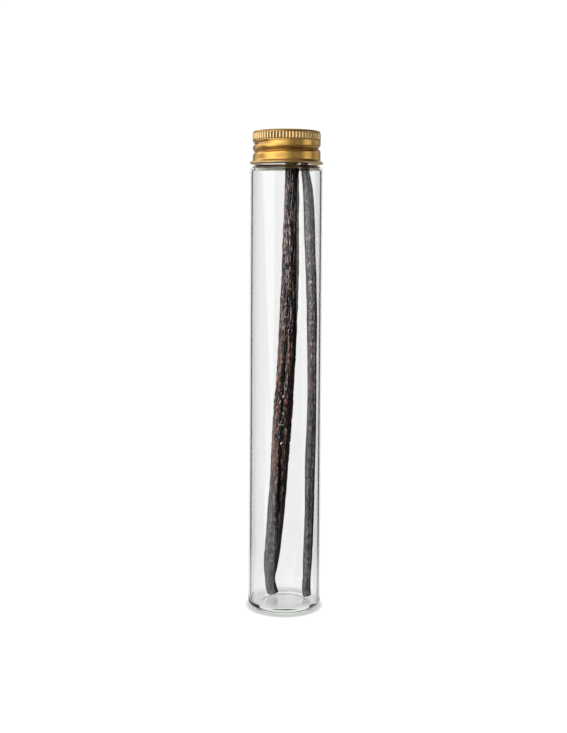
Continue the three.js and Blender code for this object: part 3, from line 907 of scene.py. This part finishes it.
def studio_world():
    """What is seen past the object is white paper. Light comes from the soft boxes, and what is
    seen straight through the glass is white paper on every side."""
    world = bpy.data.worlds.new("studio")
    bpy.context.scene.world = world
    world.use_nodes = True
    tree = world.node_tree
    tree.nodes.clear()
    place = add_node(tree, "ShaderNodeTexCoord")
    parts = add_node(tree, "ShaderNodeSeparateXYZ", Vector=(place, "Generated"))
    forward = add_node(
        tree, "ShaderNodeMath", {"operation": "MULTIPLY"}, _0=(parts, "Y"), _1=-1.0,
    )
    turn = add_node(
        tree, "ShaderNodeMath", {"operation": "ARCTAN2"}, _0=(parts, "X"), _1=forward,
    )
    lift = add_node(tree, "ShaderNodeMath", {"operation": "ARCSINE"}, _0=(parts, "Z"))
    azimuth, elevation = (
        add_node(tree, "ShaderNodeMath", {"operation": "DEGREES"}, _0=radians)
        for radians in (turn, lift)
    )
    path = add_node(tree, "ShaderNodeLightPath")

    def between(value, start, end, soft, leans=(0, 0)):
        """1 from start to end, each edge leaning with the elevation, and 0 outside."""
        middle, half = (start + end) / 2, (end - start) / 2
        off_middle = add_node(
            tree, "ShaderNodeMath", {"operation": "SUBTRACT"}, _0=value, _1=middle,
        )
        away = add_node(
            tree, "ShaderNodeMath", {"operation": "WRAP"}, _0=off_middle, _1=180.0, _2=-180.0,
        )
        past = []
        for edge, lean in zip((-half, half), leans):
            leant = add_node(
                tree, "ShaderNodeMath", {"operation": "MULTIPLY_ADD"},
                _0=elevation, _1=-lean, _2=away,
            )
            past.append(add_node(
                tree, "ShaderNodeMapRange", {"interpolation_type": "SMOOTHSTEP"}, Value=leant,
                From_Min=edge - soft / 2, From_Max=edge + soft / 2, To_Min=0.0, To_Max=1.0,
            ))
        return add_node(
            tree, "ShaderNodeMath", {"operation": "SUBTRACT"}, _0=past[0], _1=past[1],
        )

    light = AMBIENT
    for left, right, low, high, lean_left, lean_right, soft, brightness, passed in STUDIO:
        across = between(azimuth, left, right, soft, (lean_left, lean_right))
        up = between(elevation, low, high, soft)
        shape = add_node(tree, "ShaderNodeMath", {"operation": "MULTIPLY"}, _0=across, _1=up)
        flagged = add_node(
            tree, "ShaderNodeMath", {"operation": "MULTIPLY_ADD"}, _0=(path, "Is Singular Ray"),
            _1=brightness * (1 - passed), _2=brightness * passed,
        )
        panel = add_node(
            tree, "ShaderNodeMath", {"operation": "MULTIPLY"}, _0=shape, _1=flagged,
        )
        light = add_node(tree, "ShaderNodeMath", {"operation": "MAXIMUM"}, _0=panel, _1=light)
    table_end, paper_start = TABLE_EDGE
    shade = add_node(
        tree, "ShaderNodeMapRange", Value=elevation, From_Min=table_end, From_Max=paper_start,
        To_Min=TABLE_BRIGHTNESS, To_Max=PAPER_BRIGHTNESS,
    )
    paper = add_node(
        tree, "ShaderNodeMath", {"operation": "MULTIPLY"},
        _0=between(elevation, *PAPER_REACH), _1=shade,
    )
    unreflected = add_node(
        tree, "ShaderNodeMath", {"operation": "LESS_THAN"}, _0=(path, "Glossy Depth"), _1=0.5,
    )
    straight_through = add_node(
        tree, "ShaderNodeMath", {"operation": "MULTIPLY"},
        _0=(path, "Is Transmission Ray"), _1=unreflected,
    )
    through_glass = add_node(
        tree, "ShaderNodeMath", {"operation": "MULTIPLY"}, _0=paper, _1=straight_through,
    )
    strength = add_node(
        tree, "ShaderNodeMath", {"operation": "MAXIMUM"}, _0=light, _1=through_glass,
    )
    studio = add_node(tree, "ShaderNodeBackground", Color=colour("#FFFFFF"), Strength=strength)
    plain = add_node(
        tree, "ShaderNodeBackground", Color=colour("#FFFFFF"), Strength=BACKGROUND_BRIGHTNESS,
    )
    seen = add_node(tree, "ShaderNodeMixShader", _0=(path, "Is Camera Ray"), _1=studio, _2=plain)
    add_node(tree, "ShaderNodeOutputWorld", Surface=seen)


# Soft boxes flagged so that they reach only some pieces: in degrees round and up from the aim,
# how far off, width and height, and brightness.
POD_AIM = (0, 5, 101)
BROAD_POD_LAMPS = (
    (-60, 20, 600, 400, 400, 10.0),
    (-42, 32, 600, 260, 260, 16.0),
    (145, 14, 600, 300, 300, 8.0),
)
SLENDER_POD_LAMPS = (
    (-50, 22, 600, 300, 300, 10.0),
    (-8, 22, 600, 300, 300, 9.0),
    (145, 14, 600, 300, 300, 8.0),
)
CAP_AIM = (0, 0, 189)
CAP_LAMPS = (
    (-116, 6, 700, 480, 560, 0.68),
    (-54, 6, 700, 520, 600, 0.72),
    (-14, 6, 700, 480, 560, 0.68),
    (18, 6, 700, 620, 380, 0.22),
    (74, 4, 700, 410, 380, 0.88),
    (122, 8, 700, 420, 380, 0.5),
)


def flagged_lamps(name, aim, lamps, pieces):
    """Hangs soft boxes round an aim and flags them so that they light only the given pieces."""
    lit = bpy.data.collections.new(f"lit_by_{name}")
    for piece in pieces:
        lit.objects.link(piece)
    for turn, lift, distance, width, height, brightness in lamps:
        lamp = bpy.data.lights.new(name, "AREA")
        lamp.shape = "RECTANGLE"
        lamp.size, lamp.size_y = width * MM, height * MM
        lamp.energy = brightness * math.pi * lamp.size * lamp.size_y
        light = bpy.data.objects.new(name, lamp)
        turn, lift = math.radians(turn), math.radians(lift)
        level = math.cos(lift)
        away = Vector((math.sin(turn) * level, -math.cos(turn) * level, math.sin(lift)))
        light.location = (Vector(aim) + away * distance) * MM
        light.rotation_euler = away.to_track_quat("Z", "Y").to_euler()
        bpy.context.scene.collection.objects.link(light)
        light.light_linking.receiver_collection = lit


TABLE_RADIUS = 600.0
TABLE_TOP = -0.04
TABLE_SHEET = 1.0
SPOT_RADIUS = TUBE_RADIUS + 0.5
SPOT_TOP = -0.02
# How far from the axis, and how bright there: where the shade is deepest, and where it ends.
TABLE_SHADE = ((14.2, 0.56), (17.3, 1.05))
UNDER_GLASS_SHADE = ((9.0, 0.62), (16.0, 0.7))


def glowing_disc(name, radius, top, shade):
    rings = np.array([
        [(r * math.cos(a), r * math.sin(a), 0) for a in np.radians(np.arange(0, 360, 5))]
        for r in (radius / 8, radius)
    ])
    rings = np.concatenate([rings, rings[::-1] - (0, 0, TABLE_SHEET)])
    disc = closed_skin(name, rings, (0, 0, 0), (0, 0, -TABLE_SHEET))
    disc.location.z = top * MM
    disc.data.materials.append(opal_table(shade))
    disc.visible_diffuse = False
    disc.visible_glossy = False
    return disc


def table_top():
    """The table as the eye sees it, and the shaded spot of it that the tube's base shows."""
    table = glowing_disc("table_top", TABLE_RADIUS, TABLE_TOP, TABLE_SHADE)
    table.visible_transmission = False
    spot = glowing_disc("table_under_glass", SPOT_RADIUS, SPOT_TOP, UNDER_GLASS_SHADE)
    spot.visible_camera = False


CAMERA_AWAY = 451
CAMERA_HEIGHT = 157.4
CAMERA_SENSOR = 36
CAMERA_LENS = 54.09
CAMERA_SHIFT = -0.11
CAMERA_PITCH, CAMERA_ROLL, CAMERA_YAW = 3.13, 0.327, -0.141  # degrees


def camera():
    data = bpy.data.cameras.new("camera")
    data.sensor_width = CAMERA_SENSOR
    data.lens = CAMERA_LENS
    data.shift_y = CAMERA_SHIFT
    view = bpy.data.objects.new("camera", data)
    view.location = (0, -CAMERA_AWAY * MM, CAMERA_HEIGHT * MM)
    turns = (90 - CAMERA_PITCH, -CAMERA_ROLL, -CAMERA_YAW)
    view.rotation_euler = [math.radians(turn) for turn in turns]
    bpy.context.scene.collection.objects.link(view)
    bpy.context.scene.camera = view


# ---- The whole -----------------------------------------------------------------------------


def dress(piece, node, material):
    piece.data.materials.append(material)
    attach(piece, "root")
    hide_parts(node)


camera()
studio_world()
bpy.context.scene.view_settings.view_transform = "Standard"
table_top()
dress(glass_tube(), "glass_tube", soda_glass())
cap = screw_cap()
dress(cap, "screw_cap", gold_lacquered_aluminium())
broad_skin = cured_pod_skin("oily_cured_pod", "#43444A", "#9A8F88")
slender_skin = cured_pod_skin("dry_cured_pod", "#494B52", "#A39F9A")
broad = vanilla_pod("broad_vanilla_pod", BROAD_POD)
slender = vanilla_pod("slender_vanilla_pod", SLENDER_POD)
dress(broad, "broad_pod", broad_skin)
dress(slender, "slender_pod", slender_skin)
flagged_lamps("broad_pod_lamp", POD_AIM, BROAD_POD_LAMPS, (broad,))
flagged_lamps("slender_pod_lamp", POD_AIM, SLENDER_POD_LAMPS, (slender,))
flagged_lamps("cap_lamp", CAP_AIM, CAP_LAMPS, (cap,))
